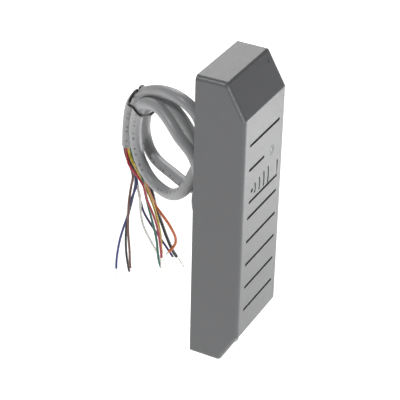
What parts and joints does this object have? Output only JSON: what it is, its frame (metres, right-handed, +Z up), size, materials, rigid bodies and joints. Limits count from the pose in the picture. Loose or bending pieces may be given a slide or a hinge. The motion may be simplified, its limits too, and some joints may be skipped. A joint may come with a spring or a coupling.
{
  "type": "proximity card reader",
  "caption": "Slim grey wall-mount proximity card reader with a grooved pull-off cover, status window, lock screw and a tied pigtail cable with colour-coded leads.",
  "frame": {"origin": "centre of the back mounting plane, where the housing meets the wall", "axes": "+Z up along the reader's height, -Y out of the front face, +Y into the wall, X across the width"},
  "size_m": [0.0635, 0.094, 0.1638],
  "materials": {
    "cover_plastic": "fine moulded texture",
    "window": "clear frosted",
    "housing_plastic": "moulded",
    "resin": "poured epoxy",
    "board": "green solder mask",
    "former_plastic": "moulded",
    "copper": "enamelled copper",
    "package_black": "moulded package",
    "can_metal": "drawn can",
    "capacitor_sleeve": "shrunk sleeve",
    "capacitor_red": "dipped film",
    "chip_ceramic": "fired",
    "beeper_case": "moulded",
    "grommet_rubber": "moulded",
    "brass_insert": "knurled",
    "screw_steel": "zinc plated",
    "cable_pvc": "extruded PVC sheath",
    "tie_black": "plastic coated wire",
    "tinned_wire": "tinned strands",
    "pvc_red": "extruded PVC insulation",
    "pvc_yellow": "extruded PVC insulation",
    "pvc_green": "extruded PVC insulation",
    "pvc_orange": "extruded PVC insulation",
    "pvc_drain": "extruded PVC insulation",
    "pvc_white": "extruded PVC insulation",
    "pvc_violet": "extruded PVC insulation",
    "pvc_black": "extruded PVC insulation",
    "pvc_blue": "extruded PVC insulation",
    "pvc_brown": "extruded PVC insulation"
  },
  "bodies": {
    "reader": {"back_housing": "housing_plastic", "potting": "resin", "circuit_board": "board", "coil_former": "former_plastic", "antenna_coil": "copper", "microcontroller": "package_black", "crystal": "can_metal", "voltage_regulator": "package_black", "filter_capacitor": "capacitor_sleeve", "tuning_capacitors": "capacitor_red", "surge_suppressor": "package_black", "driver_transistors": "package_black", "chip_resistors": "package_black", "chip_capacitors": "chip_ceramic", "beeper": "beeper_case", "status_led": "window", "inner_leads": "copper", "cable_grommet": "grommet_rubber", "lock_insert": "brass_insert", "cable_jacket": "cable_pvc", "cable_tie": "tie_black", "lead_red": "pvc_red", "lead_yellow": "pvc_yellow", "lead_green": "pvc_green", "lead_orange": "pvc_orange", "lead_drain": "pvc_drain", "lead_white": "pvc_white", "lead_violet": "pvc_violet", "lead_black": "pvc_black", "lead_blue": "pvc_blue", "lead_brown": "pvc_brown", "bare_tips": "tinned_wire"},
    "cover": {"cover": "cover_plastic", "led_lens": "window"},
    "lock_screw": {"lock_screw": "screw_steel"}
  },
  "joints": [
    {"name": "cover_pull", "type": "slide", "parent": "reader", "child": "cover", "axis": [0, -1, 0], "range_m": [0, 0.03]},
    {"name": "lock_screw_draw", "type": "slide", "parent": "reader", "child": "lock_screw", "axis": [0, 0, -1], "range_m": [0, 0.006]}
  ]
}
